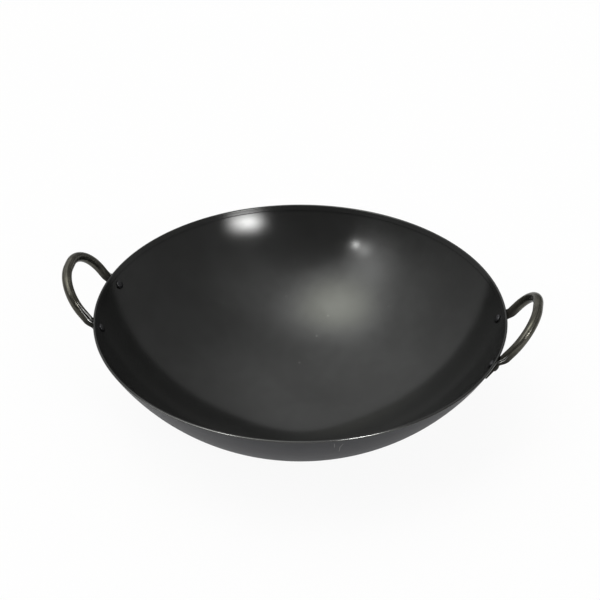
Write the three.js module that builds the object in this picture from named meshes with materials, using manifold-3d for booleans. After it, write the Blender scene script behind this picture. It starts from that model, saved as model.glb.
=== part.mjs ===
// Round-bottomed carbon-steel wok with two riveted loop handles, in millimetres, +Z up.
// The origin is the centre of the small flat that the bowl rests on, and the handles lie along X.

import * as THREE from 'three';
import { mergeVertices } from 'three/addons/utils/BufferGeometryUtils.js';
import Module from 'manifold-3d';

const wasm = await Module();
wasm.setup();

// Bowl: one pressed sheet whose edge is folded over inwards into a hem.
const rimDiameter = 508;
const bowlDepth = 137.5;
const baseFlatDiameter = 64;
const rimWallSlope = THREE.MathUtils.degToRad(61.2);
const sheetThickness = 1.5;
const hemHeight = 7.5;

// Handles: a strip rolled into a tube, bent into a U that leans outwards, with its ends pressed flat.
const handleTilt = THREE.MathUtils.degToRad(53.5);
const legSpacing = 97.6;
const gripReach = 57.2;
const gripCornerRadius = 44;
const neckReach = 7;
const tubeDiameter = 12.2;
const stripThickness = 2.3;
const seamGap = 0.8;
const seamMouth = 2.2;
const seamSplayLength = 32;
const rightSeamTurn = THREE.MathUtils.degToRad(20);
const leftSeamTurn = THREE.MathUtils.degToRad(57);
const tabEndReach = 17;
const tabSlot = 0.6;

// Rivets: one through each pressed tab and the wall.
const rivetDrop = 16;
const shankDiameter = 5;
const innerHeadDiameter = 11.2;
const innerHeadHeight = 3.3;
const outerHeadDiameter = 9.4;
const outerHeadHeight = 2.2;
const headMargin = 3;

// Clearances between touching pieces.
const tabClearance = 0.3;
const rimClearance = 0.3;
const headClearance = 0.35;
const holeClearance = 0.3;

// How finely round forms are cut into facets.
const bowlSegments = 90;
const wallSteps = 15;
const hemSteps = 5;
const stripSteps = 15;
const neckSteps = 6;
const cornerSteps = 8;
const rivetSegments = 16;
const domeSteps = 5;

const rimRadius = rimDiameter / 2;
const baseFlatRadius = baseFlatDiameter / 2;
const tubeRadius = tubeDiameter / 2;
const halfSpacing = legSpacing / 2;
const shankRadius = shankDiameter / 2;

// Half thickness of the strip's mid-line in a pressed tab, and of the round tube.
const tabHalf = (stripThickness + tabSlot) / 2;
const tubeHalf = tubeRadius - stripThickness / 2;
const tabThickness = 2 * tabHalf + stripThickness;
const tabTopReach = outerHeadDiameter / 2 + headMargin;

const wall = fitWall();

// The wall is an arc of an ellipse. It leaves the resting flat without a crease and reaches the hem's
// round top with the wanted slope.
function fitWall() {
  const endRadius = rimRadius - sheetThickness * (1 - Math.sin(rimWallSlope));
  const endHeight = bowlDepth - sheetThickness * (1 + Math.cos(rimWallSlope));
  const run = endRadius - baseFlatRadius;
  const endTurn = Math.acos(endHeight / (run * Math.tan(rimWallSlope) - endHeight));
  return {
    wide: run / Math.sin(endTurn),
    tall: endHeight / (1 - Math.cos(endTurn)),
    endTurn,
  };
}

// A point of the wall at a turn of the ellipse, set in from the outer face by a depth.
function wallPoint(turn, depth) {
  const slope = Math.atan2(wall.tall * Math.sin(turn), wall.wide * Math.cos(turn));
  const radius = baseFlatRadius + wall.wide * Math.sin(turn) - depth * Math.sin(slope);
  const height = wall.tall * (1 - Math.cos(turn)) + depth * Math.cos(slope);
  return { radius, height, slope };
}

function wallTurnAtHeight(height) {
  return Math.acos(1 - height / wall.tall);
}

// The bowl's section: up the outer face, round the hem's top, down the hem and the inner face.
function bowlProfile() {
  const profile = [new THREE.Vector2(0, 0)];
  const hemTurn = wallTurnAtHeight(bowlDepth - hemHeight);
  const turns = [];
  for (let step = 0; step <= wallSteps; step += 1) {
    turns.push((hemTurn * step) / wallSteps);
  }
  for (const turn of [...turns, wall.endTurn]) {
    const { radius, height } = wallPoint(turn, 0);
    profile.push(new THREE.Vector2(radius, height));
  }
  for (let step = 1; step <= hemSteps; step += 1) {
    const angle = rimWallSlope - Math.PI / 2 + (Math.PI * step) / hemSteps;
    const radius = rimRadius - sheetThickness + sheetThickness * Math.cos(angle);
    const height = bowlDepth - sheetThickness + sheetThickness * Math.sin(angle);
    profile.push(new THREE.Vector2(radius, height));
  }
  const hemFoot = wallPoint(hemTurn, 2 * sheetThickness);
  profile.push(new THREE.Vector2(hemFoot.radius, hemFoot.height));
  for (const turn of turns.reverse()) {
    const { radius, height } = wallPoint(turn, sheetThickness);
    profile.push(new THREE.Vector2(radius, height));
  }
  profile.push(new THREE.Vector2(0, sheetThickness));
  return profile;
}

// A lathed solid that turns about +Z.
function turned(profile, segments) {
  return new THREE.LatheGeometry(profile, segments).rotateX(Math.PI / 2);
}

// A closed solid from a geometry, without the doubled points and the empty faces at its poles.
function solidOf(geometry) {
  const bare = geometry.clone();
  bare.deleteAttribute('normal');
  bare.deleteAttribute('uv');
  const merged = mergeVertices(bare);
  const corners = Array.from(merged.index.array);
  const kept = [];
  for (let corner = 0; corner < corners.length; corner += 3) {
    const [a, b, c] = corners.slice(corner, corner + 3);
    if (a !== b && b !== c && c !== a) {
      kept.push(a, b, c);
    }
  }
  const vertProperties = new Float32Array(merged.attributes.position.array);
  const triVerts = new Uint32Array(kept);
  return new wasm.Manifold(new wasm.Mesh({ numProp: 3, vertProperties, triVerts }));
}

function geometryOf(solid) {
  const mesh = solid.getMesh();
  const geometry = new THREE.BufferGeometry();
  geometry.setAttribute('position', new THREE.BufferAttribute(mesh.vertProperties, 3));
  geometry.setIndex(new THREE.BufferAttribute(mesh.triVerts, 1));
  geometry.computeVertexNormals();
  return geometry;
}

// Where a rivet crosses the outer face of the wall, on the side of +X. End is -1 at the front, 1 at the back.
function rivetSeat(end) {
  const { radius, height, slope } = wallPoint(wallTurnAtHeight(bowlDepth - rivetDrop), 0);
  const tabOffset = tabClearance + tabThickness / 2;
  const bearing = end * Math.asin(halfSpacing / (radius + tabOffset * Math.sin(slope)));
  const radial = new THREE.Vector3(Math.cos(bearing), Math.sin(bearing), 0);
  const up = new THREE.Vector3(0, 0, 1);
  const normal = radial.clone().multiplyScalar(Math.sin(slope)).addScaledVector(up, -Math.cos(slope));
  const upWall = radial.clone().multiplyScalar(Math.cos(slope)).addScaledVector(up, Math.sin(slope));
  const point = radial.clone().multiplyScalar(radius).addScaledVector(up, height);
  return { point, normal, upWall };
}

// A round cutter along a rivet's axis, long enough to pass through the wall and the tab.
function rivetHole(seat) {
  const radius = shankRadius + holeClearance;
  const length = 4 * (sheetThickness + tabThickness);
  const cutter = new THREE.CylinderGeometry(radius, radius, length, rivetSegments).rotateX(Math.PI / 2);
  const turn = new THREE.Quaternion().setFromUnitVectors(new THREE.Vector3(0, 0, 1), seat.normal);
  cutter.applyQuaternion(turn);
  cutter.translate(seat.point.x, seat.point.y, seat.point.z);
  return cutter;
}

function bowlGeometry() {
  let solid = solidOf(turned(bowlProfile(), bowlSegments));
  for (const side of [0, Math.PI]) {
    for (const end of [-1, 1]) {
      solid = solid.subtract(solidOf(rivetHole(rivetSeat(end)).rotateZ(side)));
    }
  }
  return geometryOf(solid);
}

// A rivet about +Z, with the wall's outer face at height 0: domed head inside, flatter head outside.
function rivetProfile() {
  const innerSeat = -(sheetThickness + headClearance);
  const outerSeat = tabClearance + tabThickness + headClearance;
  const profile = [];
  for (let step = 0; step <= domeSteps; step += 1) {
    const angle = (Math.PI / 2) * (step / domeSteps);
    const radius = (innerHeadDiameter / 2) * Math.sin(angle);
    profile.push(new THREE.Vector2(radius, innerSeat - innerHeadHeight * Math.cos(angle)));
  }
  profile.push(new THREE.Vector2(shankRadius, innerSeat));
  profile.push(new THREE.Vector2(shankRadius, outerSeat));
  for (let step = 0; step <= domeSteps; step += 1) {
    const angle = (Math.PI / 2) * (1 - step / domeSteps);
    const radius = (outerHeadDiameter / 2) * Math.sin(angle);
    profile.push(new THREE.Vector2(radius, outerSeat + outerHeadHeight * Math.cos(angle)));
  }
  return profile;
}

// A point of the rolled strip's mid-line, which is a flattened ring of constant girth: two half circles
// of the given half thickness, and two straight stretches. Along runs from the loop's outside edge
// towards the bowl. Gives the place and the outward direction, as out (of the loop) and in (to the bowl).
function stripPoint(along, half) {
  const flat = Math.PI * (tubeHalf - half);
  const quarter = (Math.PI / 2) * half;
  const girth = 2 * Math.PI * tubeHalf;
  const place = THREE.MathUtils.euclideanModulo(along, girth);
  if (place >= quarter && place < quarter + flat) {
    return { out: flat / 2 - (place - quarter), inwards: half, faceOut: 0, faceIn: 1 };
  }
  if (place >= 3 * quarter + flat && place < 3 * quarter + 2 * flat) {
    return { out: place - 3 * quarter - 1.5 * flat, inwards: -half, faceOut: 0, faceIn: -1 };
  }
  let angle = place / half;
  let centre = flat / 2;
  if (place >= quarter + flat && place < 3 * quarter + flat) {
    angle = (place - flat) / half;
    centre = -flat / 2;
  } else if (place >= 3 * quarter + 2 * flat) {
    angle = (place - 2 * flat) / half;
  }
  const faceOut = Math.cos(angle);
  const faceIn = Math.sin(angle);
  return { out: centre + half * faceOut, inwards: half * faceIn, faceOut, faceIn };
}

// Stations along the front half of a handle, from the end of its tab to the middle of its grip. Each has
// the tube's centre, the direction away from the bowl, the half thickness and the opening of the seam.
function halfHandle(end) {
  const seat = rivetSeat(end);
  const tabOffset = tabClearance + tabThickness / 2;
  const tabCentre = seat.point.clone().addScaledVector(seat.normal, tabOffset);
  const tabEnd = tabCentre.clone().addScaledVector(seat.upWall, -tabEndReach);
  const tabTop = tabCentre.clone().addScaledVector(seat.upWall, tabTopReach);
  const legUp = new THREE.Vector3(Math.cos(handleTilt), 0, Math.sin(handleTilt));
  const away = new THREE.Vector3(Math.sin(handleTilt), 0, -Math.cos(handleTilt));
  const hemAtLeg = Math.sqrt((rimRadius - sheetThickness) ** 2 - halfSpacing ** 2);
  const legFoot = new THREE.Vector3(hemAtLeg, end * halfSpacing, bowlDepth - sheetThickness);
  legFoot.addScaledVector(away, sheetThickness + rimClearance + tubeRadius);

  const stations = [];
  for (const centre of [tabEnd, tabCentre, tabTop]) {
    stations.push({ centre, away: seat.normal, half: tabHalf, gap: seamMouth });
  }
  const neckTop = legFoot.clone().addScaledVector(legUp, neckReach);
  const rise = neckTop.clone().sub(tabTop);
  const lift = rise.dot(seat.normal);
  for (let step = 1; step <= neckSteps; step += 1) {
    const share = step / neckSteps;
    const swell = THREE.MathUtils.smoothstep(share, 0, 1);
    const centre = tabTop.clone().addScaledVector(rise, share);
    centre.addScaledVector(seat.normal, lift * (swell - share));
    const turnedAway = seat.normal.clone().lerp(away, swell).normalize();
    const half = THREE.MathUtils.lerp(tabHalf, tubeHalf, swell);
    stations.push({ centre, away: turnedAway, half, gap: seamMouth });
  }
  const straightLeg = gripReach - gripCornerRadius;
  const roundLeg = straightLeg - neckReach;
  const cornerLength = (Math.PI / 2) * gripCornerRadius;
  for (let step = 0; step <= cornerSteps; step += 1) {
    const angle = (Math.PI / 2) * (step / cornerSteps);
    const reach = straightLeg + gripCornerRadius * Math.sin(angle);
    const inset = gripCornerRadius * (1 - Math.cos(angle));
    const centre = legFoot.clone().addScaledVector(legUp, reach);
    centre.y = end * (halfSpacing - inset);
    const travelled = roundLeg + cornerLength * (step / cornerSteps);
    const splay = 1 - THREE.MathUtils.smoothstep(travelled, 0, seamSplayLength);
    const gap = THREE.MathUtils.lerp(seamGap, seamMouth, splay);
    stations.push({ centre, away, half: tubeHalf, gap });
  }
  return stations;
}

// A rolled strip carried along the stations, with its seam turned from the loop's outside to the bowl.
function handleGeometry(seamTurn) {
  const stations = [...halfHandle(-1), ...halfHandle(1).reverse()];
  const positions = [];
  const indices = [];
  const sidePoints = stripSteps + 1;
  const ring = 2 * sidePoints;
  const girth = 2 * Math.PI * tubeHalf;
  stations.forEach(({ centre, away, half, gap }, index) => {
    const before = stations[Math.max(index - 1, 0)].centre;
    const after = stations[Math.min(index + 1, stations.length - 1)].centre;
    const along = after.clone().sub(before).normalize();
    const out = away.clone().cross(along).normalize();
    const inwards = along.clone().cross(out).normalize().negate();
    for (let corner = 0; corner < ring; corner += 1) {
      const isOuter = corner < sidePoints;
      const step = isOuter ? corner : ring - 1 - corner;
      const share = step / stripSteps;
      const place = tubeHalf * seamTurn + gap / 2 + (girth - gap) * share;
      const spot = stripPoint(place, half);
      const shift = (isOuter ? stripThickness : -stripThickness) / 2;
      const point = centre.clone().addScaledVector(out, spot.out + shift * spot.faceOut);
      point.addScaledVector(inwards, spot.inwards + shift * spot.faceIn);
      positions.push(point.x, point.y, point.z);
    }
  });
  const last = (stations.length - 1) * ring;
  for (let base = 0; base < last; base += ring) {
    for (let corner = 0; corner < ring; corner += 1) {
      const next = (corner + 1) % ring;
      indices.push(base + corner, base + ring + corner, base + next);
      indices.push(base + next, base + ring + corner, base + ring + next);
    }
  }
  for (let step = 0; step < stripSteps; step += 1) {
    const inner = ring - 1 - step;
    indices.push(step, step + 1, inner - 1, step, inner - 1, inner);
    indices.push(last + inner, last + inner - 1, last + step);
    indices.push(last + inner - 1, last + step + 1, last + step);
  }
  const geometry = new THREE.BufferGeometry();
  geometry.setAttribute('position', new THREE.Float32BufferAttribute(positions, 3));
  geometry.setIndex(indices);
  let solid = solidOf(geometry);
  for (const end of [-1, 1]) {
    solid = solid.subtract(solidOf(rivetHole(rivetSeat(end))));
  }
  return geometryOf(solid);
}

const bowlSteel = new THREE.MeshStandardMaterial({ color: 0x3b3c3d, roughness: 0.42, metalness: 0.9 });
const handleSteel = new THREE.MeshStandardMaterial({ color: 0x4c4a42, roughness: 0.5, metalness: 0.9 });
const rivetSteel = new THREE.MeshStandardMaterial({ color: 0x2e2e30, roughness: 0.45, metalness: 0.9 });

function named(name, geometry, material) {
  const mesh = new THREE.Mesh(geometry, material);
  mesh.name = name;
  return mesh;
}

// One handle and its two rivets, on the side of +X.
function handleGroup(side, seamTurn, endNames) {
  const group = new THREE.Group();
  group.add(named(`handle_${side}`, handleGeometry(seamTurn), handleSteel));
  for (const [end, endName] of endNames) {
    const seat = rivetSeat(end);
    const shape = geometryOf(solidOf(turned(rivetProfile(), rivetSegments)));
    const rivet = named(`rivet_${side}_${endName}`, shape, rivetSteel);
    rivet.position.copy(seat.point);
    rivet.quaternion.setFromUnitVectors(new THREE.Vector3(0, 0, 1), seat.normal);
    group.add(rivet);
  }
  return group;
}

const wok = new THREE.Group();
wok.add(named('wok_bowl', bowlGeometry(), bowlSteel));
wok.add(handleGroup('right', rightSeamTurn, [[-1, 'front'], [1, 'back']]));
const leftHandle = handleGroup('left', leftSeamTurn, [[1, 'front'], [-1, 'back']]);
leftHandle.rotation.z = Math.PI;
wok.add(leftHandle);

export default wok;
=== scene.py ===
"""Round-bottomed steel wok with two riveted loop handles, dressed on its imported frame."""

import math

import bpy
import numpy as np
from bpy.props import FloatProperty, FloatVectorProperty, PointerProperty
from mathutils import Matrix, Vector


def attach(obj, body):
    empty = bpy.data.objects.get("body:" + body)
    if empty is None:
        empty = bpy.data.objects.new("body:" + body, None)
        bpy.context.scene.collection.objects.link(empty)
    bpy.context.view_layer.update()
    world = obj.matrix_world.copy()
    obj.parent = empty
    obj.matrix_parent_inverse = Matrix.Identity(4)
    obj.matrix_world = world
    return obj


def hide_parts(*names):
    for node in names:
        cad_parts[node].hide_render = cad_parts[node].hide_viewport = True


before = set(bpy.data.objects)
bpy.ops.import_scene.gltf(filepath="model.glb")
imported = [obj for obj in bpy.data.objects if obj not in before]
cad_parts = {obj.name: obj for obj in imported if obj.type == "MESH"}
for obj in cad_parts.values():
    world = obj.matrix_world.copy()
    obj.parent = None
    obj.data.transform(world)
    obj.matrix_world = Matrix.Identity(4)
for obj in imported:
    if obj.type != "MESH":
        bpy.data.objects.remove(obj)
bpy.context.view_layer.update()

bl_info = {
    "name": "Riveted wok",
    "version": (1, 0, 0),
    "blender": (4, 5, 0),
    "location": "3D View > Sidebar > Wok",
    "description": "Builds a steel wok with rolled loop handles, its rivets and a plain studio",
    "category": "Add Mesh",
}

BODY = "root"

# Each handle's turn about Z, and the sign of Y of its two ends before that turn.
SIDES = {"right": 0, "left": math.pi}
ENDS = {"right": {"front": -1, "back": 1}, "left": {"front": 1, "back": -1}}

# How finely the surfaces are divided, and the angle from which an edge is sharp.
BOWL_COLUMNS = 360
BOWL_ROWS = 100
RIM_ROWS = 33
HANDLE_COLUMNS = 50
TAB_ROWS = 20
NECK_ROWS = 30
BEND_ROWS = 46
RIVET_COLUMNS = 48
RIVET_ROWS = 14
FLOOR_COLUMNS = 96
SHARP_ANGLE = math.radians(40)

# Easing of the strip at the tabs' ends and inside the seam, and how sharply the bare cut begins at a lip.
END_EASE = 0.75
LIP_EASE = 0.5
CUT_SHARPNESS = 16

# Power of the sine that a rivet head's radius follows. Below 1 the head is fuller than half an ellipse.
HEAD_FULLNESS = 0.9

# Where the rim's round is worn: how steeply its surface faces upwards, in degrees above the level.
WEAR_START, WEAR_FULL, WEAR_FADING, WEAR_END = 14, 22, 44, 58

# Short scratches on the outside of the bowl, each from one point to another.
SCRATCHES = (
    ((0.0770, -0.2385, 0.1297), (0.0762, -0.2325, 0.1200)),
    ((0.0858, -0.2334, 0.1263), (0.0822, -0.2297, 0.1187)),
    ((0.0822, -0.2297, 0.1187), (0.0800, -0.2207, 0.1054)),
)
SCRATCH_WIDTH = 0.0006
SCRATCH_SHARE = 0.35

# Glows of the room: azimuth from the camera, elevation and half width in degrees, and level.
ROOM_LEVEL = 0.20
SIDE_GLOW = (-53.8, 46, 10.1, 1.82)
OVERHEAD_GLOW = (-65, 73, 14.7, 4.1)
OVERHEAD_TINT = (0.99, 1.0, 0.92)
WALL_GLOWS = (
    (-88, 38, 14.3, 0.35),
    (47, 66, 17.7, 0.46),
    (-156, 52, 31, 0.78),
    (-115, 15, 35, 0.2),
    (110, 15, 45, 0.1),
)
STRIP_GLOWS = (
    (26.3, 31.3, 3.0, 13),
    (31.5, 30.4, 3.0, 23),
    (37.5, 28.9, 3.2, 14),
    (-44.4, 41.7, 2.6, 4.6),
)

# The side glow ends at the plane square to this azimuth and elevation, over this much of the cosine.
SIDE_EDGE = (-121, 0)
SIDE_FADE = 0.06

# The room's darker patch: azimuth and elevation, the cosines of its edge, and how much it takes away.
DARK_PATCH = (0, 34)
DARK_EDGE = (0.872, 0.908)
DARK_SHARE = 0.28

# How far the camera sees, past the edge of the floor.
FAR_CLIP = 60


def length(name, description, default):
    """A length in metres."""
    return FloatProperty(
        name=name, description=description, default=default, min=0, unit="LENGTH", precision=4
    )


def angle(name, description, degrees):
    """An angle, given in degrees and kept in radians."""
    return FloatProperty(
        name=name, description=description, default=math.radians(degrees), subtype="ANGLE"
    )


def share(name, description, default):
    """A share from 0 to 1."""
    return FloatProperty(
        name=name, description=description, default=default, min=0, max=1, subtype="FACTOR"
    )


def offset(name, description, default):
    """An offset along an axis, in metres, to either side."""
    return FloatProperty(name=name, description=description, default=default, unit="LENGTH", precision=4)


def colour(name, description, default):
    """A linear colour."""
    return FloatVectorProperty(
        name=name, description=description, default=default, size=3, min=0, max=1, subtype="COLOR"
    )


class WokBowlSettings(bpy.types.PropertyGroup):
    """Sizes and colours of the bowl"""

    rim_diameter: length("Rim diameter", "Across the outside of the rim", 0.508)
    depth: length("Depth", "From the resting flat up to the top of the rim", 0.1375)
    base_flat: length("Resting flat", "Diameter of the flat that the bowl stands on", 0.064)
    rim_slope: angle("Rim slope", "Slope of the wall where it meets the hem", 61.2)
    sheet: length("Sheet thickness", "Thickness of the pressed sheet", 0.0015)
    hem: length("Hem height", "Height of the edge that is folded over inwards", 0.0075)
    hem_round: length("Hem edge round", "Rounding of the hem's cut edge", 0.0004)
    steel: colour("Steel", "Colour of the dark oxide skin", (0.046, 0.0465, 0.0455))
    pale_steel: colour("Pale steel", "Colour of the thinner patches of the skin", (0.055, 0.056, 0.055))
    # The outer colour is darker and bluer than the inside: partly the outside's own skin, partly painted
    # shade for the shaded ground under the wok that the outside reflects.
    outer_steel: colour("Outer steel", "Colour of the skin outside", (0.0190, 0.0195, 0.0240))
    bare_steel: colour("Bare steel", "Colour where the skin is worn through", (0.42, 0.42, 0.41))
    metal: share("Metal share", "How much of the skin reflects as bare metal", 0.75)
    roughness: share("Roughness", "Mean roughness of the skin inside", 0.135)
    outer_roughness: share("Outer roughness", "Mean roughness of the skin outside", 0.46)


class WokHandleSettings(bpy.types.PropertyGroup):
    """Sizes and colours of the two handles"""

    tilt: angle("Tilt", "Slope of the loops above the level", 53.5)
    leg_spacing: length("Leg spacing", "Between the middles of a loop's two legs", 0.0976)
    grip_reach: length("Grip reach", "From the rim to the middle of the grip", 0.0582)
    corner: length("Corner radius", "Bend radius at each corner of the grip", 0.044)
    neck_reach: length("Neck reach", "From the rim up to where a leg is fully round", 0.0045)
    tube: length("Tube diameter", "Outside diameter of the rolled strip", 0.0122)
    strip: length("Strip thickness", "Thickness of the strip", 0.0023)
    seam_gap: length("Seam gap", "Opening of the seam along the grip", 0.0003)
    right_mouth: length("Right mouth", "Opening of the right seam at the tabs", 0.0010)
    left_mouth: length("Left mouth", "Opening of the left seam at the tabs", 0.0022)
    right_splay: length("Right splay", "Length of the right legs over which the seam opens", 0.012)
    left_splay: length("Left splay", "Length of the left legs over which the seam opens", 0.032)
    right_seam: angle("Right seam", "Turn of the right seam from the loop's outside to the bowl", 20)
    left_seam: angle("Left seam", "Turn of the left seam from the loop's outside to the bowl", 57)
    tab_reach: length("Tab reach", "From the rivet down to the tab's end", 0.017)
    tab_slot: length("Tab slot", "Space left inside a pressed tab", 0.0006)
    tab_clearance: length("Tab clearance", "Between a tab and the wall", 0.0003)
    rim_clearance: length("Rim clearance", "Between a leg and the rim", 0.0003)
    lip_round: length("Lip round", "Rounding of the strip's cut edges", 0.0003)
    lip_bevel: share("Lip bevel", "Width of the rounded lip along the seam, as a share of its opening", 0.6)
    lip_fall: share("Lip fall", "Depth of the rounded lip, as a share of its width", 0.8)
    bare_opening: length("Bare opening", "How much wider the seam is where its lips are fully bare", 0.0015)
    steel: colour("Steel", "Colour of the strip", (0.058, 0.056, 0.046))
    pale_steel: colour("Pale steel", "Colour of the paler streaks", (0.150, 0.144, 0.120))
    # Painted shade: the colour that darkens the strip towards the tabs, standing in for the shade beside
    # the bowl.
    end_shade_steel: colour("Painted end shade", "Colour of the shade painted on the pressed ends", (0.020, 0.0193, 0.017))
    bare_steel: colour("Bare steel", "Colour of the cut edges", (0.86, 0.86, 0.84))
    metal: share("Metal share", "How much of the strip reflects as bare metal", 0.85)
    roughness: share("Roughness", "Mean roughness of the strip", 0.24)


class WokRivetSettings(bpy.types.PropertyGroup):
    """Sizes and colours of the four rivets"""

    drop: length("Drop", "From the top of the rim down to the rivets", 0.016)
    shank: length("Shank diameter", "Diameter of the shank", 0.005)
    inner_head: length("Inner head diameter", "Across the domed head inside the bowl", 0.0112)
    inner_height: length("Inner head height", "Height of the domed head", 0.0033)
    outer_head: length("Outer head diameter", "Across the formed head outside", 0.0094)
    outer_height: length("Outer head height", "Height of the formed head", 0.0022)
    margin: length("Head margin", "Flat of the tab above the formed head", 0.003)
    clearance: length("Head clearance", "Under each head", 0.00035)
    brim: length("Brim", "Height of the heads' straight brim", 0.0002)
    steel: colour("Steel", "Colour of the heads", (0.026, 0.026, 0.028))
    worn_steel: colour("Worn steel", "Colour of the heads' worn patches", (0.052, 0.052, 0.056))
    metal: share("Metal share", "How much of the heads reflects as bare metal", 0.75)
    roughness: share("Roughness", "Mean roughness of the heads inside", 0.17)


class WokStageSettings(bpy.types.PropertyGroup):
    """Places of the camera, the floor and the lamp"""

    azimuth: angle("Azimuth", "Camera's turn about the wok, from the front", 9.0)
    elevation: angle("Elevation", "Camera's height above the level", 34.85)
    distance: length("Distance", "From the camera to the middle of the rim", 2.5456)
    roll: angle("Roll", "Camera's turn about its own axis", 0.015)
    look_x: offset("Look at, X", "Where the camera looks, along the handles' line", -0.0049)
    look_y: offset("Look at, Y", "Where the camera looks, across the handles' line", 0.0285)
    lens: FloatProperty(
        name="Lens", description="Focal length for the sensor's width", default=124.33, unit="CAMERA"
    )
    sensor: FloatProperty(name="Sensor", description="Width of the sensor", default=36, unit="CAMERA")
    floor_radius: length("Floor radius", "Radius of the plain floor", 14)
    floor_gap: length("Floor gap", "Between the floor and the wok's flat", 0.0004)
    floor: colour("Floor", "Colour of the floor", (0.90, 0.90, 0.90))
    floor_white: share("Floor's white", "How far the floor is lifted to plain white", 0.93)
    floor_mirrored: share("Mirrored white", "How far the floor is lifted to white in reflections", 0.45)
    lamp_azimuth: angle("Lamp azimuth", "Lamp's turn about the wok, from the camera", -40.5)
    lamp_elevation: angle("Lamp elevation", "Lamp's height above the level", 43.9)
    lamp_distance: length("Lamp distance", "From the lamp to the middle of the rim", 2.2)
    lamp_size: length("Lamp size", "Side of the square lamp", 0.085)
    lamp_radiance: FloatProperty(
        name="Lamp radiance", description="Brightness of the lamp's face", default=35, min=0
    )


class Wall:
    """The bowl's wall as an arc of an ellipse.

    Radius is flat + wide sin t and height is tall (1 - cos t), so the arc leaves the resting flat level.
    The half axes follow from the place and the slope at which it meets the hem's round top.
    """

    def __init__(self, bowl):
        slope = bowl.rim_slope
        self.flat = bowl.base_flat / 2
        run = bowl.rim_diameter / 2 - bowl.sheet * (1 - math.sin(slope)) - self.flat
        rise = bowl.depth - bowl.sheet * (1 + math.cos(slope))
        self.end_turn = math.acos(rise / (run * math.tan(slope) - rise))
        self.wide = run / math.sin(self.end_turn)
        self.tall = rise / (1 - math.cos(self.end_turn))

    def turn_at_height(self, height):
        """The turn t at which the outer face is this high: cos t = 1 - height / tall."""
        return math.acos(1 - height / self.tall)

    def slope(self, turn):
        """The wall's slope above the level, whose tangent is tall sin t / (wide cos t)."""
        return np.arctan2(self.tall * np.sin(turn), self.wide * np.cos(turn))

    def points(self, turn, inset):
        """Radius and height at each turn, moved in from the outer face by the inset along the normal."""
        slope = self.slope(turn)
        radius = self.flat + self.wide * np.sin(turn) - inset * np.sin(slope)
        height = self.tall * (1 - np.cos(turn)) + inset * np.cos(slope)
        return np.stack(np.broadcast_arrays(radius, height), -1)


def smooth(x):
    """The cubic step 3x² - 2x³ between 0 and 1."""
    x = np.clip(x, 0, 1)
    return x * x * (3 - 2 * x)


def bowl_profile(bowl):
    """The bowl's section, as radius and height, from the middle of its underside to that of its inside.

    It runs out over the flat, up the ellipse, round the hem's half circle, down the hem at twice the
    sheet's thickness, over the hem's rounded cut edge, and back down the ellipse set in by one thickness.
    Also gives, for each point, how much it lies on the worn rim and how much it lies outside.
    """
    wall = Wall(bowl)
    sheet = bowl.sheet
    hem_turn = wall.turn_at_height(bowl.depth - bowl.hem)
    climb = np.linspace(0, hem_turn, BOWL_ROWS)
    disc = np.stack([np.linspace(0, wall.flat, 8)[:-1], np.zeros(7)], -1)

    outer = wall.points(np.append(climb, np.linspace(hem_turn, wall.end_turn, 7)[1:]), 0)
    round_angle = bowl.rim_slope - math.pi / 2 + math.pi * np.linspace(0, 1, RIM_ROWS)[1:-1]
    top = np.stack([np.cos(round_angle), np.sin(round_angle)], -1) * sheet
    top += [bowl.rim_diameter / 2 - sheet, bowl.depth - sheet]
    per_turn = math.hypot(wall.wide * math.cos(hem_turn), wall.tall * math.sin(hem_turn))
    edge = np.linspace(0, math.pi / 2, 6)
    edge_turn = hem_turn + bowl.hem_round * (1 - np.sin(edge)) / per_turn
    edge_inset = 2 * sheet - bowl.hem_round * (1 - np.cos(edge))
    hem_side = wall.points(np.linspace(wall.end_turn, edge_turn[0], 8)[:-1], 2 * sheet)
    hem_edge = wall.points(edge_turn, edge_inset)
    inner = wall.points(climb[::-1], sheet)
    profile = np.concatenate([disc, outer, top, hem_side, hem_edge, inner, disc[::-1] + [0, sheet]])
    outer_count = len(disc) + len(outer)
    faces = np.degrees(round_angle)
    shoulder = smooth((faces - WEAR_START) / (WEAR_FULL - WEAR_START))
    shoulder *= smooth((WEAR_END - faces) / (WEAR_END - WEAR_FADING))
    worn = np.zeros(len(profile))
    worn[outer_count : outer_count + len(top)] = shoulder
    outside = np.zeros(len(profile))
    outside[:outer_count] = 1
    return profile, {"worn": worn, "outside": outside}


def lathe(profile, columns):
    """A profile of radius and height carried round Z: x = r cos a, y = r sin a. Its two ends are poles."""
    turn = np.linspace(0, 2 * math.pi, columns, endpoint=False)
    ring = np.stack([np.cos(turn), np.sin(turn)], -1)
    spread = profile[1:-1, None, :1] * ring
    height = np.broadcast_to(profile[1:-1, None, 1:], spread[..., :1].shape)
    return np.concatenate([spread, height], -1)


def tube_faces(rows, columns):
    """Quads of a grid that closes on itself along its columns."""
    row = np.arange(rows - 1)[:, None] * columns
    column = np.arange(columns)[None, :]
    after = (column + 1) % columns
    above = row + columns
    quads = np.stack([row + column, row + after, above + after, above + column], -1)
    return quads.reshape(-1, 4)


def fan_faces(pole, first, columns, flip):
    """Triangles from a pole to a ring of points."""
    here = first + np.arange(columns)
    after = first + (np.arange(columns) + 1) % columns
    pole = np.full(columns, pole)
    return np.stack([pole, after, here] if flip else [pole, here, after], -1)


def ladder_faces(first, columns, flip):
    """Quads that close the end of a rolled strip, between its outer face and its inner one."""
    outer = np.arange(columns // 2 - 1)
    inner = columns - 1 - outer
    quads = np.stack([outer, inner, inner - 1, outer + 1], -1) + first
    return quads[:, ::-1] if flip else quads


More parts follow.
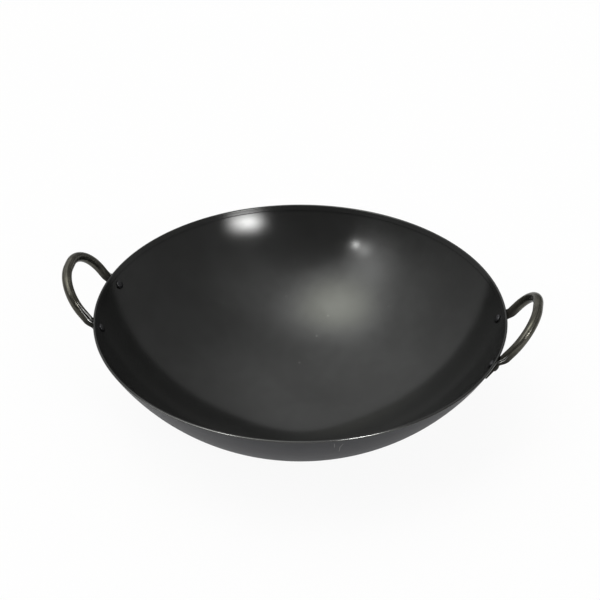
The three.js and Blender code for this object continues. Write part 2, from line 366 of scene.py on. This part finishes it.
def lathe_piece(name, profile, columns, attributes, seat=None):
    """A lathed object with closed poles. The seat, a matrix, places it in the mesh."""
    grid = lathe(profile, columns)
    rows = len(grid)
    poles = np.array([[0, 0, profile[0, 1]], [0, 0, profile[-1, 1]]])
    points = np.concatenate([grid.reshape(-1, 3), poles])
    if seat is not None:
        points = points @ seat[:3, :3].T + seat[:3, 3]
    count = rows * columns
    faces = tube_faces(rows, columns).tolist()
    faces += fan_faces(count, 0, columns, True).tolist()
    faces += fan_faces(count + 1, count - columns, columns, False).tolist()
    values = {}
    for key, along in attributes.items():
        values[key] = np.concatenate([np.repeat(along[1:-1], columns), along[[0, -1]]])
    return piece(name, points, faces, values)


def piece(name, points, faces, attributes):
    """An object at the origin whose place is in its mesh, smooth but for its sharp edges."""
    mesh = bpy.data.meshes.new(name)
    mesh.from_pydata(points.tolist(), [], faces)
    for key, values in attributes.items():
        layer = mesh.attributes.new(key, "FLOAT", "POINT")
        layer.data.foreach_set("value", np.asarray(values, np.float32))
    mesh.update()
    mesh.shade_smooth()
    mesh.set_sharp_from_angle(angle=SHARP_ANGLE)
    made = bpy.data.objects.new(name, mesh)
    bpy.context.scene.collection.objects.link(made)
    return made


def dress(made, material, node):
    """Give a piece its material and put it in the place of a solid on the wok's body."""
    made.data.materials.append(material)
    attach(made, BODY)
    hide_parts(node)


class Seat:
    """Where a rivet crosses the wall, on the side of +X. End is -1 at the front and 1 at the back."""

    def __init__(self, settings, end):
        bowl, handle, rivet = settings
        wall = Wall(bowl)
        turn = wall.turn_at_height(bowl.depth - rivet.drop)
        radius, height = wall.points(turn, 0)
        slope = float(wall.slope(turn))
        tab_thickness = 2 * handle.strip + handle.tab_slot
        self.tab_offset = handle.tab_clearance + tab_thickness / 2
        reach = radius + self.tab_offset * math.sin(slope)
        bearing = end * math.asin(handle.leg_spacing / 2 / reach)
        radial = np.array([math.cos(bearing), math.sin(bearing), 0])
        up = np.array([0, 0, 1])
        self.normal = radial * math.sin(slope) - up * math.cos(slope)
        self.up_wall = radial * math.cos(slope) + up * math.sin(slope)
        self.point = radial * radius + up * height

    def matrix(self, turn):
        """The seat's axes and place, turned about Z."""
        made = np.eye(4)
        made[:3, :3] = np.stack([self.up_wall, np.cross(self.normal, self.up_wall), self.normal], -1)
        made[:3, 3] = self.point
        return np.array(Matrix.Rotation(turn, 4, "Z")) @ made


def half_handle(settings, end, mouth, splay):
    """Stations from the end of a tab to the middle of the grip, on the side of +X.

    The tab runs straight up the wall. The neck goes from the tab to the leg's foot on a cubic step,
    in place, facing and thickness. The leg is straight, and a quarter circle turns it into the grip.
    Gives the centres, the facing away from the bowl, the half thickness, the seam's opening and how
    far each station lies from the tab's end.
    """
    bowl, handle, rivet = settings
    seat = Seat(settings, end)
    centre = seat.point + seat.normal * seat.tab_offset
    tab_end = centre - seat.up_wall * handle.tab_reach
    tab_top = centre + seat.up_wall * (rivet.outer_head / 2 + rivet.margin)
    leg_up = np.array([math.cos(handle.tilt), 0, math.sin(handle.tilt)])
    away = np.array([math.sin(handle.tilt), 0, -math.cos(handle.tilt)])
    half_spacing = handle.leg_spacing / 2
    hem = math.sqrt((bowl.rim_diameter / 2 - bowl.sheet) ** 2 - half_spacing**2)
    foot = np.array([hem, end * half_spacing, bowl.depth - bowl.sheet])
    foot = foot + away * (bowl.sheet + handle.rim_clearance + handle.tube / 2)
    tab_half = (handle.strip + handle.tab_slot) / 2
    tube_half = (handle.tube - handle.strip) / 2

    eased_end = [0, 0.0001, 0.0003, 0.0006, 0.0015]
    tab_length = np.linalg.norm(tab_top - tab_end)
    run = np.append(eased_end, np.linspace(eased_end[-1], tab_length, TAB_ROWS)[1:])
    tab = tab_end + run[:, None] * seat.up_wall
    climb = np.linspace(0, 1, NECK_ROWS)[1:, None]
    swell = smooth(climb)
    rise = foot + leg_up * handle.neck_reach - tab_top
    neck = tab_top + rise * climb + seat.normal * (rise @ seat.normal) * (swell - climb)
    neck_away = seat.normal * (1 - swell) + away * swell
    straight = handle.grip_reach - handle.corner
    leg_run = np.linspace(handle.neck_reach, straight, 6)[1:]
    leg = foot + leg_run[:, None] * leg_up
    bend = np.linspace(0, math.pi / 2, BEND_ROWS)[1:]
    corner = foot + (straight + handle.corner * np.sin(bend))[:, None] * leg_up
    corner[:, 1] = end * (half_spacing - handle.corner * (1 - np.cos(bend)))

    centres = np.concatenate([tab, neck, leg, corner])
    tab_away = np.tile(seat.normal, (len(tab), 1))
    loop_away = np.tile(away, (len(leg) + len(corner), 1))
    facing = np.concatenate([tab_away, neck_away, loop_away])
    facing /= np.linalg.norm(facing, axis=1, keepdims=True)
    half = np.full(len(centres), tube_half)
    half[: len(tab)] = tab_half
    half[len(tab) : len(tab) + len(neck)] = tab_half + (tube_half - tab_half) * swell[:, 0]
    travelled = np.concatenate([leg_run, straight + handle.corner * bend]) - handle.neck_reach
    gap = np.full(len(centres), mouth)
    gap[-len(travelled) :] -= (mouth - handle.seam_gap) * smooth(travelled / splay)
    from_end = np.full(len(centres), 1.0)
    from_end[: len(run)] = run
    return centres, facing, half, gap, from_end


def strip_section(place, half, tube_half):
    """Places on the rolled strip's mid-line, a flattened ring of constant girth.

    The ring is two half circles of the given half thickness and two straight stretches between them.
    Place runs from the loop's outside edge towards the bowl. Gives the offset out of the loop, the
    offset to the bowl, and the outward direction in the same two axes.
    """
    flat = math.pi * (tube_half - half)
    quarter = math.pi / 2 * half
    place = np.mod(place, 2 * math.pi * tube_half)
    near = (place >= quarter) & (place < quarter + flat)
    far = (place >= 3 * quarter + flat) & (place < 3 * quarter + 2 * flat)
    back = (place >= quarter + flat) & (place < 3 * quarter + flat)
    last = place >= 3 * quarter + 2 * flat
    turn = (place - np.where(back, flat, np.where(last, 2 * flat, 0))) / half
    face_out = np.where(near | far, 0, np.cos(turn))
    face_in = np.where(near, 1, np.where(far, -1, np.sin(turn)))
    centre = np.where(back, -flat / 2, flat / 2)
    out = np.where(near, flat / 2 - (place - quarter), centre + half * face_out)
    out = np.where(far, place - 3 * quarter - 1.5 * flat, out)
    return out, half * face_in, face_out, face_in


def rolled_handle(settings, side, seam_turn, mouth, splay):
    """A strip rolled to a tube, carried along a loop's stations, with its seam open.

    At each station the strip's two faces lie half its thickness to either side of the mid-line. Along the
    seam the outer face falls away in a quarter of an ellipse, and the faces are eased at the tabs' ends.
    """
    handle = settings[1]
    front = half_handle(settings, -1, mouth, splay)
    rear = half_handle(settings, 1, mouth, splay)
    joined = [np.concatenate([a, b[::-1][1:]]) for a, b in zip(front, rear)]
    centres, facing, half, gap, from_end = joined
    tube_half = (handle.tube - handle.strip) / 2
    girth = 2 * math.pi * tube_half
    along = np.gradient(centres, axis=0)
    along /= np.linalg.norm(along, axis=1, keepdims=True)
    out_axis = np.cross(facing, along)
    out_axis /= np.linalg.norm(out_axis, axis=1, keepdims=True)
    in_axis = np.cross(out_axis, along)

    lip = handle.lip_round
    bevel = handle.lip_bevel * gap[:, None]
    bare = smooth((gap - handle.seam_gap) / handle.bare_opening)[:, None]
    width = girth - gap[:, None]
    lip_places = np.array([0.02, 0.08, 0.2, 0.4, 0.65, 0.94, 1.0, 1.06, 1.4])
    from_lip = bevel * lip_places
    middle = 2 * bevel + (width - 4 * bevel) * np.linspace(0, 1, HANDLE_COLUMNS)
    run = np.concatenate([from_lip, middle, width - from_lip[:, ::-1]], 1)
    edge = np.minimum(run, width - run)
    end_edge = END_EASE * np.clip(1 - from_end / lip, 0, 1)
    half_strip = handle.strip / 2 * np.sqrt(1 - end_edge**2)[:, None]
    inner_half = half_strip * np.sqrt(1 - LIP_EASE * np.clip(1 - edge / lip, 0, 1) ** 2)
    fall = np.clip(1 - edge / bevel, 0, 1)
    outer_half = half_strip - handle.lip_fall * bevel * (1 - np.sqrt(1 - fall**2))
    place = tube_half * seam_turn + gap[:, None] / 2 + run
    out, inwards, face_out, face_in = strip_section(place, half[:, None], tube_half)

    def face(lift):
        a = (out + lift * face_out)[..., None] * out_axis[:, None]
        b = (inwards + lift * face_in)[..., None] * in_axis[:, None]
        return centres[:, None] + a + b

    grid = np.concatenate([face(outer_half), face(-inner_half)[:, ::-1]], 1)
    rows, columns = grid.shape[:2]
    points = grid.reshape(-1, 3) @ np.array(Matrix.Rotation(SIDES[side], 3, "Z")).T
    faces = np.concatenate(
        [
            tube_faces(rows, columns),
            ladder_faces(0, columns, False),
            ladder_faces((rows - 1) * columns, columns, True),
        ]
    )
    cut = np.clip(CUT_SHARPNESS * (1 - edge / bevel), 0, 1) * bare
    cut = np.concatenate([cut, np.zeros_like(cut)], 1)
    travelled = np.append(0, np.cumsum(np.linalg.norm(np.diff(centres, axis=0), axis=1)))
    reach = np.minimum(travelled, travelled[-1] - travelled)
    round_place = np.concatenate([run, run[:, ::-1]], 1)
    values = {
        "cut": cut.ravel(),
        "along": np.repeat(travelled, columns),
        "reach": np.repeat(reach, columns),
        "round": round_place.ravel(),
    }
    return piece(f"handle_{side}_rolled", points, faces.tolist(), values)


def rivet_profile(settings):
    """A rivet's section about its axis, with the wall's outer face at height 0.

    Both heads are nearly half ellipses, a little fuller, with a low brim: radius is half the diameter times
    a power of sin t, and height goes with cos t. The shank between them is straight.
    """
    bowl, handle, rivet = settings
    inner = -(bowl.sheet + rivet.clearance)
    outer = handle.tab_clearance + 2 * handle.strip + handle.tab_slot + rivet.clearance

    def head(diameter, height, seat, direction):
        turn = np.linspace(0, math.pi / 2, RIVET_ROWS)
        radius = diameter / 2 * np.sin(turn) ** HEAD_FULLNESS
        dome = seat + direction * (height * np.cos(turn) + rivet.brim * np.sin(turn))
        brim = np.array([[diameter / 2 - rivet.brim, seat]])
        return np.concatenate([np.stack([radius, dome], -1), brim])

    low = head(rivet.inner_head, rivet.inner_height - rivet.brim, inner, -1)
    high = head(rivet.outer_head, rivet.outer_height - rivet.brim, outer, 1)[::-1]
    shank = np.array([[rivet.shank / 2, inner], [rivet.shank / 2, outer]])
    return np.concatenate([low, shank, high])


class Value:
    """A node's output. Arithmetic on it adds Math nodes to its tree."""

    def __init__(self, tree, socket):
        self.tree = tree
        self.socket = socket

    def maths(self, operation, first, second):
        """A Math node on two numbers."""
        return self.tree.add("ShaderNodeMath", {"operation": operation}, {0: first, 1: second})

    def __add__(self, other):
        return self.maths("ADD", self, other)

    def __radd__(self, other):
        return self.maths("ADD", other, self)

    def __sub__(self, other):
        return self.maths("SUBTRACT", self, other)

    def __rsub__(self, other):
        return self.maths("SUBTRACT", other, self)

    def __mul__(self, other):
        return self.maths("MULTIPLY", self, other)

    def __rmul__(self, other):
        return self.maths("MULTIPLY", other, self)

    def __pow__(self, other):
        return self.maths("POWER", self, other)


class Tree:
    """A node tree, and the one way to add a node to it."""

    def __init__(self, owner):
        owner.use_nodes = True
        self.tree = owner.node_tree
        self.tree.nodes.clear()

    def add(self, kind, settings=None, sockets=None, output=0):
        """A node of a kind, with its settings set first, then the values or links of its sockets."""
        node = self.tree.nodes.new(kind)
        for key, value in (settings or {}).items():
            setattr(node, key, value)
        for key, value in (sockets or {}).items():
            if isinstance(value, Value):
                self.tree.links.new(value.socket, node.inputs[key])
            elif isinstance(value, (tuple, list)) and node.inputs[key].type == "RGBA":
                node.inputs[key].default_value = (*value, 1)
            else:
                node.inputs[key].default_value = value
        return Value(self, node.outputs[output]) if node.outputs else None

    def place(self):
        """The object's own coordinates."""
        return self.add("ShaderNodeTexCoord", output="Object")

    def stretched(self, vector, scale):
        """A vector with each axis scaled."""
        sockets = {"Vector": vector, "Scale": scale}
        return self.add("ShaderNodeMapping", {"vector_type": "POINT"}, sockets)

    def noise(self, vector, scale, detail, roughness):
        """Soft noise about 0.5."""
        sockets = {"Vector": vector, "Scale": scale, "Detail": detail, "Roughness": roughness}
        return self.add("ShaderNodeTexNoise", {"noise_dimensions": "3D"}, sockets)

    def between(self, value, low, high):
        """0 below low, 1 above high, and a smooth step between."""
        settings = {"interpolation_type": "SMOOTHSTEP"}
        sockets = {"Value": value, "From Min": low, "From Max": high}
        return self.add("ShaderNodeMapRange", settings, sockets)

    def mix(self, amount, first, second):
        """The first colour, going over to the second by the amount."""
        settings = {"data_type": "RGBA", "blend_type": "MIX", "clamp_factor": True}
        return self.add("ShaderNodeMix", settings, {0: amount, 6: first, 7: second}, output=2)

    def stroke(self, vector, start, end, width):
        """1 on the straight line from start to end, fading to 0 at the width to either side."""
        core = 0.3 * width
        run = Vector(end) - Vector(start)
        unit = tuple(run / run.length_squared)
        from_start = self.add("ShaderNodeVectorMath", {"operation": "SUBTRACT"}, {0: vector, 1: start})
        along = self.add("ShaderNodeClamp", None, {"Value": self.dot(from_start, unit)})
        sockets = {0: tuple(run), "Scale": along}
        nearest = self.add("ShaderNodeVectorMath", {"operation": "SCALE"}, sockets)
        sockets = {0: from_start, 1: nearest}
        away = self.add("ShaderNodeVectorMath", {"operation": "DISTANCE"}, sockets, output="Value")
        return 1.0 - self.between(away, core, width)

    def dot(self, first, second):
        """The dot product of two vectors."""
        sockets = {0: first, 1: second}
        return self.add("ShaderNodeVectorMath", {"operation": "DOT_PRODUCT"}, sockets, output="Value")

    def largest(self, first, second):
        """The larger of two numbers."""
        return self.add("ShaderNodeMath", {"operation": "MAXIMUM"}, {0: first, 1: second})

    def attribute(self, name):
        """A number kept on the mesh's points."""
        return self.add("ShaderNodeAttribute", {"attribute_name": name}, output="Fac")

    def bump(self, height, distance, strength):
        """A normal tilted by a height."""
        sockets = {"Height": height, "Distance": distance, "Strength": strength}
        return self.add("ShaderNodeBump", None, sockets)

    def vector(self, x, y, z):
        """A vector from its three numbers."""
        return self.add("ShaderNodeCombineXYZ", None, {0: x, 1: y, 2: z})

    def surface(self, sockets):
        """The shader, joined to the material's output."""
        shader = self.add("ShaderNodeBsdfPrincipled", None, sockets)
        self.add("ShaderNodeOutputMaterial", None, {"Surface": shader})


def new_finish(name):
    """A new material and its empty node tree."""
    material = bpy.data.materials.new(name)
    return material, Tree(material)


def bowl_finish(bowl):
    """Dark oxide skin: cloudy patches, fine grain, a few specks, and bare steel on the rim's front edge.

    The outside is darker and bluer, partly its own skin and partly painted shade, and has faint rings and
    hairlines, and the short scratches.
    """
    material, tree = new_finish("bowl_oxide_steel")
    bare_steel = tuple(bowl.bare_steel)
    place = tree.place()
    cloud = tree.noise(place, scale=9.0, detail=3.0, roughness=0.5)
    mottle = tree.noise(place, scale=55.0, detail=4.0, roughness=0.6)
    grain = tree.noise(place, scale=1400.0, detail=2.0, roughness=0.5)
    drawn_out = tree.stretched(place, (700.0, 45.0, 200.0))
    hair = tree.noise(drawn_out, scale=1.0, detail=2.0, roughness=0.5)
    hair_lines = tree.between(hair, 0.66, 0.72)
    layered = tree.stretched(place, (4.0, 4.0, 420.0))
    rings = tree.noise(layered, scale=1.0, detail=3.0, roughness=0.6)
    dots = tree.noise(place, scale=190.0, detail=0.0, roughness=0.5)
    specks = tree.between(dots, 0.87, 0.89)
    outside = tree.attribute("outside")
    worn = tree.between(tree.attribute("worn") + 0.5 * (mottle - 0.5), 0.35, 0.95)
    patch = tree.between(0.65 * cloud + 0.35 * mottle, 0.38, 0.64)
    skin = tree.mix(patch, tuple(bowl.steel), tuple(bowl.pale_steel))
    skin = tree.mix(0.14 * specks, skin, bare_steel)
    scuffs = 0.04 * hair_lines + 0.02 * tree.between(rings, 0.42, 0.68)
    # Outside, the skin takes the darker outer colour: partly its own bluer skin, partly painted shade.
    scuffed = tree.mix(scuffs, tuple(bowl.outer_steel), bare_steel)
    skin = tree.mix(outside, skin, scuffed)
    for start, end in SCRATCHES:
        scratch = tree.stroke(place, start, end, SCRATCH_WIDTH)
        skin = tree.mix(SCRATCH_SHARE * scratch, skin, bare_steel)
    to_back = tree.add("ShaderNodeSeparateXYZ", None, {0: place}, output="Y")
    front = tree.between(-1.0 * to_back, 0.19, 0.22)
    skin = tree.mix((0.1 + 0.8 * front) * worn, skin, bare_steel)
    rough = bowl.roughness + (bowl.outer_roughness - bowl.roughness) * outside
    rough = rough + 0.03 * (cloud - 0.5) + 0.04 * (mottle - 0.5) + 0.04 * hair_lines
    normal = tree.bump(grain * 0.6 + mottle * 0.4, distance=0.00004, strength=0.25)
    tree.surface(
        {
            "Base Color": skin,
            "Metallic": bowl.metal + (1 - bowl.metal) * worn,
            "Roughness": rough,
            "Normal": normal,
        }
    )
    return material


def handle_finish(handle):
    """Brownish rolled strip: lengthwise streaks, blotches, painted shade that darkens the pressed ends
    towards the bowl, and bright bare cut edges.
    """
    material, tree = new_finish("handle_rolled_steel")
    place = tree.place()
    along = tree.attribute("along")
    across = tree.attribute("round")
    fine_lines = tree.vector(along * 28.0, across * 900.0, 0.0)
    streak = tree.noise(fine_lines, scale=1.0, detail=3.0, roughness=0.6)
    wide_lines = tree.vector(along * 9.0, across * 190.0, 0.0)
    broad = tree.noise(wide_lines, scale=1.0, detail=2.0, roughness=0.5)
    blotch = tree.noise(place, scale=85.0, detail=4.0, roughness=0.6)
    speckle = tree.noise(place, scale=620.0, detail=2.0, roughness=0.6)
    cut = tree.attribute("cut")
    # Painted shade: the strip is darkened, and made rougher, over the last few centimetres towards each
    # tab, where it meets the bowl.
    end_shade = 1.0 - tree.between(tree.attribute("reach"), 0.030, 0.062)
    pale = tree.between(0.45 * streak + 0.3 * broad + 0.25 * blotch, 0.40, 0.66)
    skin = tree.mix(pale, tuple(handle.steel), tuple(handle.pale_steel))
    skin = tree.mix(0.85 * end_shade, skin, tuple(handle.end_shade_steel))
    skin = tree.mix(cut, skin, tuple(handle.bare_steel))
    # The painted shade near the tabs also raises the roughness, except on the bare cut edges.
    end_shade_rough = 0.45 * end_shade
    rough = handle.roughness + 0.12 * (broad - 0.5) + 0.12 * (blotch - 0.5) + end_shade_rough
    relief = (0.3 * streak + 0.7 * speckle) * (1.0 - cut)
    normal = tree.bump(relief, distance=0.00025, strength=0.5)
    tree.surface(
        {
            "Base Color": skin,
            "Metallic": handle.metal + (1 - handle.metal) * cut,
            "Roughness": rough - end_shade_rough * cut,
            "Specular Tint": (0.7, 0.7, 0.7),
            "Normal": normal,
        }
    )
    return material


def rivet_finish(rivet):
    """Dark steel heads with worn patches and small dents from the setting tool, rougher outside."""
    material, tree = new_finish("rivet_dark_steel")
    place = tree.place()
    mottle = tree.noise(place, scale=260.0, detail=3.0, roughness=0.6)
    dents = tree.noise(place, scale=700.0, detail=1.0, roughness=0.4)
    skin = tree.mix(tree.between(mottle, 0.4, 0.65), tuple(rivet.steel), tuple(rivet.worn_steel))
    rough = rivet.roughness + 0.2 * (mottle - 0.5) + 0.45 * tree.attribute("outside")
    tree.surface(
        {
            "Base Color": skin,
            "Metallic": rivet.metal,
            "Roughness": rough,
            "Normal": tree.bump(dents, distance=0.0003, strength=0.5),
        }
    )
    return material


def floor_finish(stage):
    """A plain pale floor that shows as white, with a share of its own shading kept for the shadow.

    In reflections it keeps more of that shading, so the wok's wall darkens towards the ground.
    """
    material, tree = new_finish("floor_white")
    seen = tree.add("ShaderNodeLightPath", output="Is Camera Ray")
    glossy = tree.add("ShaderNodeLightPath", output="Is Glossy Ray")
    passed = tree.add("ShaderNodeLightPath", output="Is Transmission Ray")
    mirrored = tree.largest(glossy, passed)
    lift = stage.floor_white * seen + stage.floor_mirrored * mirrored
    plain = tree.add("ShaderNodeBsdfDiffuse", None, {"Color": tuple(stage.floor)})
    white = tree.add("ShaderNodeEmission", None, {"Color": (1, 1, 1), "Strength": 1.0})
    mixed = tree.add("ShaderNodeMixShader", None, {0: lift, 1: plain, 2: white})
    tree.add("ShaderNodeOutputMaterial", None, {"Surface": mixed})
    return material


def wok_settings(context):
    """The settings of the bowl, the handles and the rivets."""
    scene = context.scene
    return scene.wok_bowl, scene.wok_handles, scene.wok_rivets


class WOK_OT_bowl(bpy.types.Operator):
    """Build the pressed bowl with its folded rim"""

    bl_idname = "wok.bowl"
    bl_label = "Build bowl"

    def execute(self, context):
        bowl = context.scene.wok_bowl
        profile, attributes = bowl_profile(bowl)
        made = lathe_piece("bowl_pressed", profile, BOWL_COLUMNS, attributes)
        dress(made, bowl_finish(bowl), "wok_bowl")
        return {"FINISHED"}


class WOK_OT_handles(bpy.types.Operator):
    """Build the two loop handles from rolled strip"""

    bl_idname = "wok.handles"
    bl_label = "Build handles"

    def execute(self, context):
        settings = wok_settings(context)
        handle = settings[1]
        finish = handle_finish(handle)
        seams = {
            "right": (handle.right_seam, handle.right_mouth, handle.right_splay),
            "left": (handle.left_seam, handle.left_mouth, handle.left_splay),
        }
        for side, seam in seams.items():
            made = rolled_handle(settings, side, *seam)
            dress(made, finish, f"handle_{side}")
        return {"FINISHED"}


class WOK_OT_rivets(bpy.types.Operator):
    """Build the four rivets"""

    bl_idname = "wok.rivets"
    bl_label = "Build rivets"

    def execute(self, context):
        settings = wok_settings(context)
        finish = rivet_finish(settings[2])
        profile = rivet_profile(settings)
        attributes = {"outside": profile[:, 1] > 0}
        for side, ends in ENDS.items():
            for end_name, end in ends.items():
                seat = Seat(settings, end).matrix(SIDES[side])
                name = f"rivet_{side}_{end_name}_set"
                made = lathe_piece(name, profile, RIVET_COLUMNS, attributes, seat)
                dress(made, finish, f"rivet_{side}_{end_name}")
        return {"FINISHED"}


def toward(azimuth, elevation):
    """A direction from its turn about Z, counted from the front, and its height above the level."""
    flat = math.cos(elevation)
    return Vector((math.sin(azimuth) * flat, -math.cos(azimuth) * flat, math.sin(elevation)))


def add_camera(stage, middle):
    """The camera, at its turn, height and distance from the middle of the rim, looking close by it."""
    back = toward(stage.azimuth, stage.elevation)
    place = middle + back * stage.distance
    look = middle + Vector((stage.look_x, stage.look_y, 0))
    ahead = (look - place).normalized()
    right = ahead.cross(Vector((0, 0, 1))).normalized()
    up = right.cross(ahead)
    side = right * math.cos(stage.roll) + up * math.sin(stage.roll)
    top = up * math.cos(stage.roll) - right * math.sin(stage.roll)
    data = bpy.data.cameras.new("photo_camera")
    data.sensor_width = stage.sensor
    data.lens = stage.lens
    data.clip_end = FAR_CLIP
    made = bpy.data.objects.new("photo_camera", data)
    made.matrix_world = Matrix(
        (
            (side.x, top.x, -ahead.x, place.x),
            (side.y, top.y, -ahead.y, place.y),
            (side.z, top.z, -ahead.z, place.z),
            (0, 0, 0, 1),
        )
    )
    bpy.context.scene.collection.objects.link(made)
    bpy.context.scene.camera = made


def add_lamp(stage, middle):
    """A square lamp that faces the wok. Its power is radiance x pi x area."""
    data = bpy.data.lights.new("front_left_lamp", "AREA")
    data.shape = "SQUARE"
    data.size = stage.lamp_size
    data.energy = stage.lamp_radiance * math.pi * stage.lamp_size**2
    made = bpy.data.objects.new("front_left_lamp", data)
    direction = toward(stage.azimuth + stage.lamp_azimuth, stage.lamp_elevation)
    made.location = middle + direction * stage.lamp_distance
    made.rotation_euler = direction.to_track_quat("Z", "Y").to_euler()
    bpy.context.scene.collection.objects.link(made)


def add_floor(stage):
    """A disc: x = r cos a, y = r sin a, just under the flat that the wok rests on."""
    turn = np.linspace(0, 2 * math.pi, FLOOR_COLUMNS, endpoint=False)
    reach = stage.floor_radius
    height = np.full(FLOOR_COLUMNS, -stage.floor_gap)
    points = np.stack([reach * np.cos(turn), reach * np.sin(turn), height], -1)
    made = piece("floor", points, [list(range(FLOOR_COLUMNS))], {})
    made.data.materials.append(floor_finish(stage))


def add_room(stage):
    """A plain room, bright overhead and to the left, with a darker patch in front.

    Each glow is its level times a power of the cosine to its middle, which halves it at the half width.
    """
    world = bpy.data.worlds.new("plain_room")
    bpy.context.scene.world = world
    tree = Tree(world)
    direction = tree.add("ShaderNodeTexCoord", output="Generated")

    def facing(azimuth, elevation):
        axis = toward(stage.azimuth + math.radians(azimuth), math.radians(elevation))
        return tree.dot(direction, tuple(axis))

    def glow(azimuth, elevation, half_width, level):
        power = math.log(0.5) / math.log(math.cos(math.radians(half_width)))
        return level * tree.largest(facing(azimuth, elevation), 0.0) ** power

    side = glow(*SIDE_GLOW) * tree.between(facing(*SIDE_EDGE), 0.0, SIDE_FADE)
    overhead = glow(*OVERHEAD_GLOW)
    level = ROOM_LEVEL + side + overhead
    for wall_glow in WALL_GLOWS:
        level = level + glow(*wall_glow)
    level = level * (1.0 - DARK_SHARE * tree.between(facing(*DARK_PATCH), *DARK_EDGE))
    for strip_glow in STRIP_GLOWS:
        level = level + glow(*strip_glow)
    tint = tree.mix(tree.between(overhead, 0.3, 3.5), (1.0, 1.0, 1.0), OVERHEAD_TINT)
    sky = tree.add("ShaderNodeBackground", None, {"Color": tint, "Strength": level})
    tree.add("ShaderNodeOutputWorld", None, {"Surface": sky})


class WOK_OT_stage(bpy.types.Operator):
    """Set the camera, the floor and the soft studio light"""

    bl_idname = "wok.stage"
    bl_label = "Set stage"

    def execute(self, context):
        stage = context.scene.wok_stage
        middle = Vector((0, 0, context.scene.wok_bowl.depth))
        add_camera(stage, middle)
        add_floor(stage)
        add_room(stage)
        add_lamp(stage, middle)
        context.scene.view_settings.view_transform = "Standard"
        return {"FINISHED"}


class WOK_PT_panel(bpy.types.Panel):
    """The wok's pieces and its stage"""

    bl_idname = "WOK_PT_panel"
    bl_label = "Wok"
    bl_space_type = "VIEW_3D"
    bl_region_type = "UI"
    bl_category = "Wok"

    def draw(self, context):
        scene = context.scene
        groups = (
            (scene.wok_bowl, WOK_OT_bowl),
            (scene.wok_handles, WOK_OT_handles),
            (scene.wok_rivets, WOK_OT_rivets),
            (scene.wok_stage, WOK_OT_stage),
        )
        for group, operator in groups:
            box = self.layout.box()
            for key in group.__annotations__:
                box.prop(group, key)
            box.operator(operator.bl_idname)


CLASSES = (
    WokBowlSettings,
    WokHandleSettings,
    WokRivetSettings,
    WokStageSettings,
    WOK_OT_bowl,
    WOK_OT_handles,
    WOK_OT_rivets,
    WOK_OT_stage,
    WOK_PT_panel,
)


def register():
    for each in CLASSES:
        bpy.utils.register_class(each)
    bpy.types.Scene.wok_bowl = PointerProperty(type=WokBowlSettings)
    bpy.types.Scene.wok_handles = PointerProperty(type=WokHandleSettings)
    bpy.types.Scene.wok_rivets = PointerProperty(type=WokRivetSettings)
    bpy.types.Scene.wok_stage = PointerProperty(type=WokStageSettings)


def unregister():
    del bpy.types.Scene.wok_stage
    del bpy.types.Scene.wok_rivets
    del bpy.types.Scene.wok_handles
    del bpy.types.Scene.wok_bowl
    for each in reversed(CLASSES):
        bpy.utils.unregister_class(each)


def main():
    register()
    bpy.ops.wok.stage()
    bpy.ops.wok.bowl()
    bpy.ops.wok.handles()
    bpy.ops.wok.rivets()


if __name__ == "__main__":
    main()
